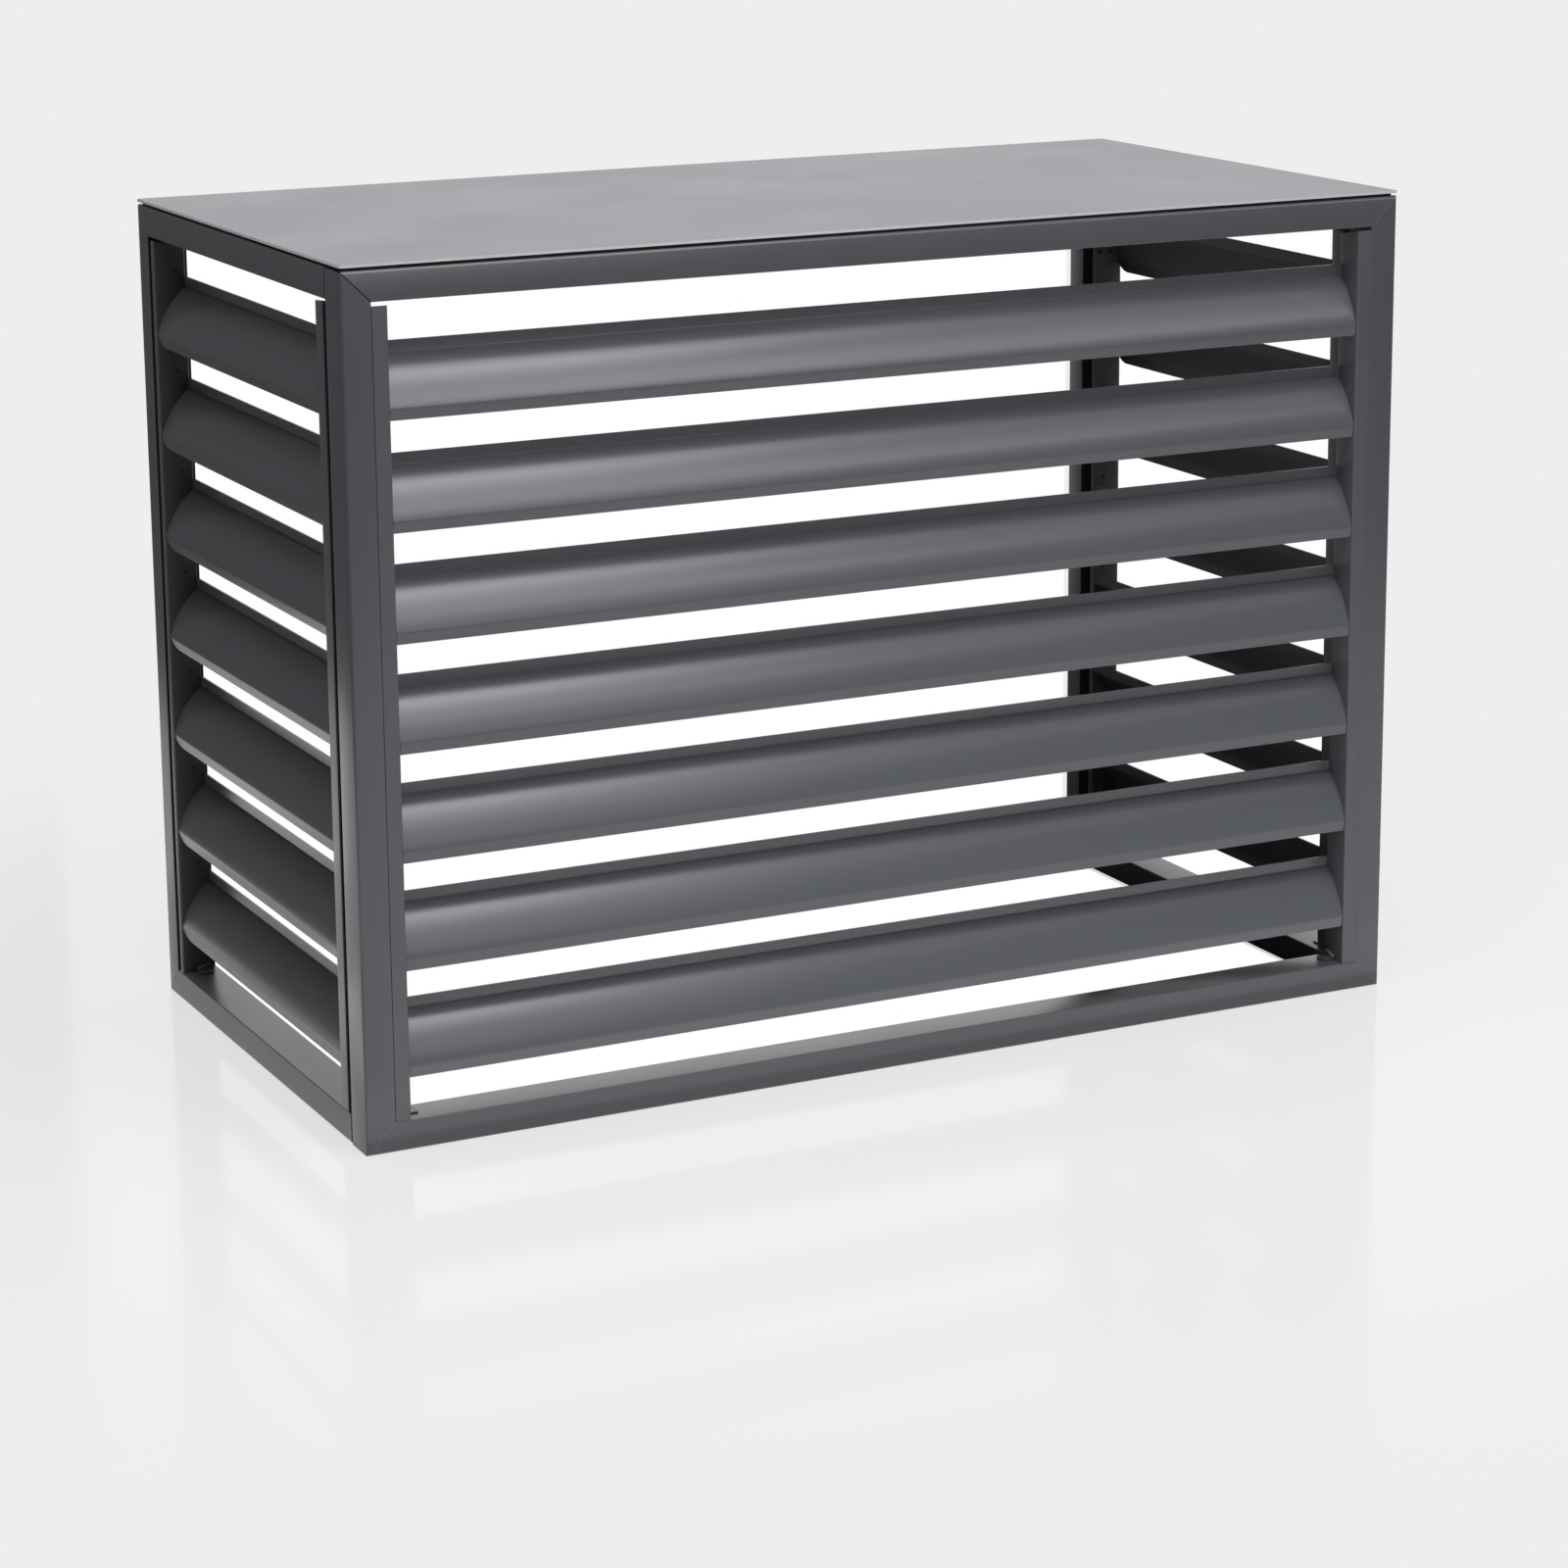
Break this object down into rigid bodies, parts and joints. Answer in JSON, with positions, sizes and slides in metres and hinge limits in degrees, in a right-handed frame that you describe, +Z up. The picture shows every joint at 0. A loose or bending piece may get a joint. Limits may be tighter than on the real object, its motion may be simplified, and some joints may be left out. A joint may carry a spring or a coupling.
{
  "type": "air conditioner screen",
  "caption": "Free-standing louvred screen for an outdoor unit: front and side frames with fixed arched blades under a flat top, open at the rear and at the foot.",
  "frame": {"origin": "middle of the footprint, on the ground", "axes": "+X to the right along the front as seen from outside, +Y from the front to the open rear, +Z up"},
  "size_m": [1.11, 0.57, 0.82],
  "materials": {
    "coated_aluminium": "satin anthracite powder coat on aluminium",
    "bare_aluminium": "mill finish",
    "seal_rubber": "matt black sealing strip"
  },
  "bodies": {
    "root": {"front_top_rail": "coated_aluminium", "front_bottom_rail": "coated_aluminium", "front_left_stile": "coated_aluminium", "front_right_stile": "coated_aluminium", "left_top_rail": "coated_aluminium", "left_bottom_rail": "coated_aluminium", "left_rear_stile": "coated_aluminium", "right_top_rail": "coated_aluminium", "right_bottom_rail": "coated_aluminium", "right_rear_stile": "coated_aluminium", "rear_top_rail": "coated_aluminium", "front_left_channel": "coated_aluminium", "front_right_channel": "coated_aluminium", "left_front_channel": "coated_aluminium", "left_rear_channel": "coated_aluminium", "right_front_channel": "coated_aluminium", "right_rear_channel": "coated_aluminium", "front_blade_1": "coated_aluminium", "front_blade_2": "coated_aluminium", "front_blade_3": "coated_aluminium", "front_blade_4": "coated_aluminium", "front_blade_5": "coated_aluminium", "front_blade_6": "coated_aluminium", "front_blade_7": "coated_aluminium", "left_blade_1": "coated_aluminium", "left_blade_2": "coated_aluminium", "left_blade_3": "coated_aluminium", "left_blade_4": "coated_aluminium", "left_blade_5": "coated_aluminium", "left_blade_6": "coated_aluminium", "left_blade_7": "coated_aluminium", "right_blade_1": "coated_aluminium", "right_blade_2": "coated_aluminium", "right_blade_3": "coated_aluminium", "right_blade_4": "coated_aluminium", "right_blade_5": "coated_aluminium", "right_blade_6": "coated_aluminium", "right_blade_7": "coated_aluminium", "top_sheet": "coated_aluminium", "top_seal": "seal_rubber", "front_left_cleat": "coated_aluminium", "front_right_cleat": "coated_aluminium", "left_front_cleat": "coated_aluminium", "left_rear_cleat": "coated_aluminium", "right_front_cleat": "coated_aluminium", "right_rear_cleat": "coated_aluminium", "front_left_bottom_key": "bare_aluminium", "front_left_top_key": "bare_aluminium", "front_right_bottom_key": "bare_aluminium", "front_right_top_key": "bare_aluminium", "left_rear_bottom_key": "bare_aluminium", "left_rear_top_key": "bare_aluminium", "right_rear_bottom_key": "bare_aluminium", "right_rear_top_key": "bare_aluminium"}
  },
  "joints": []
}
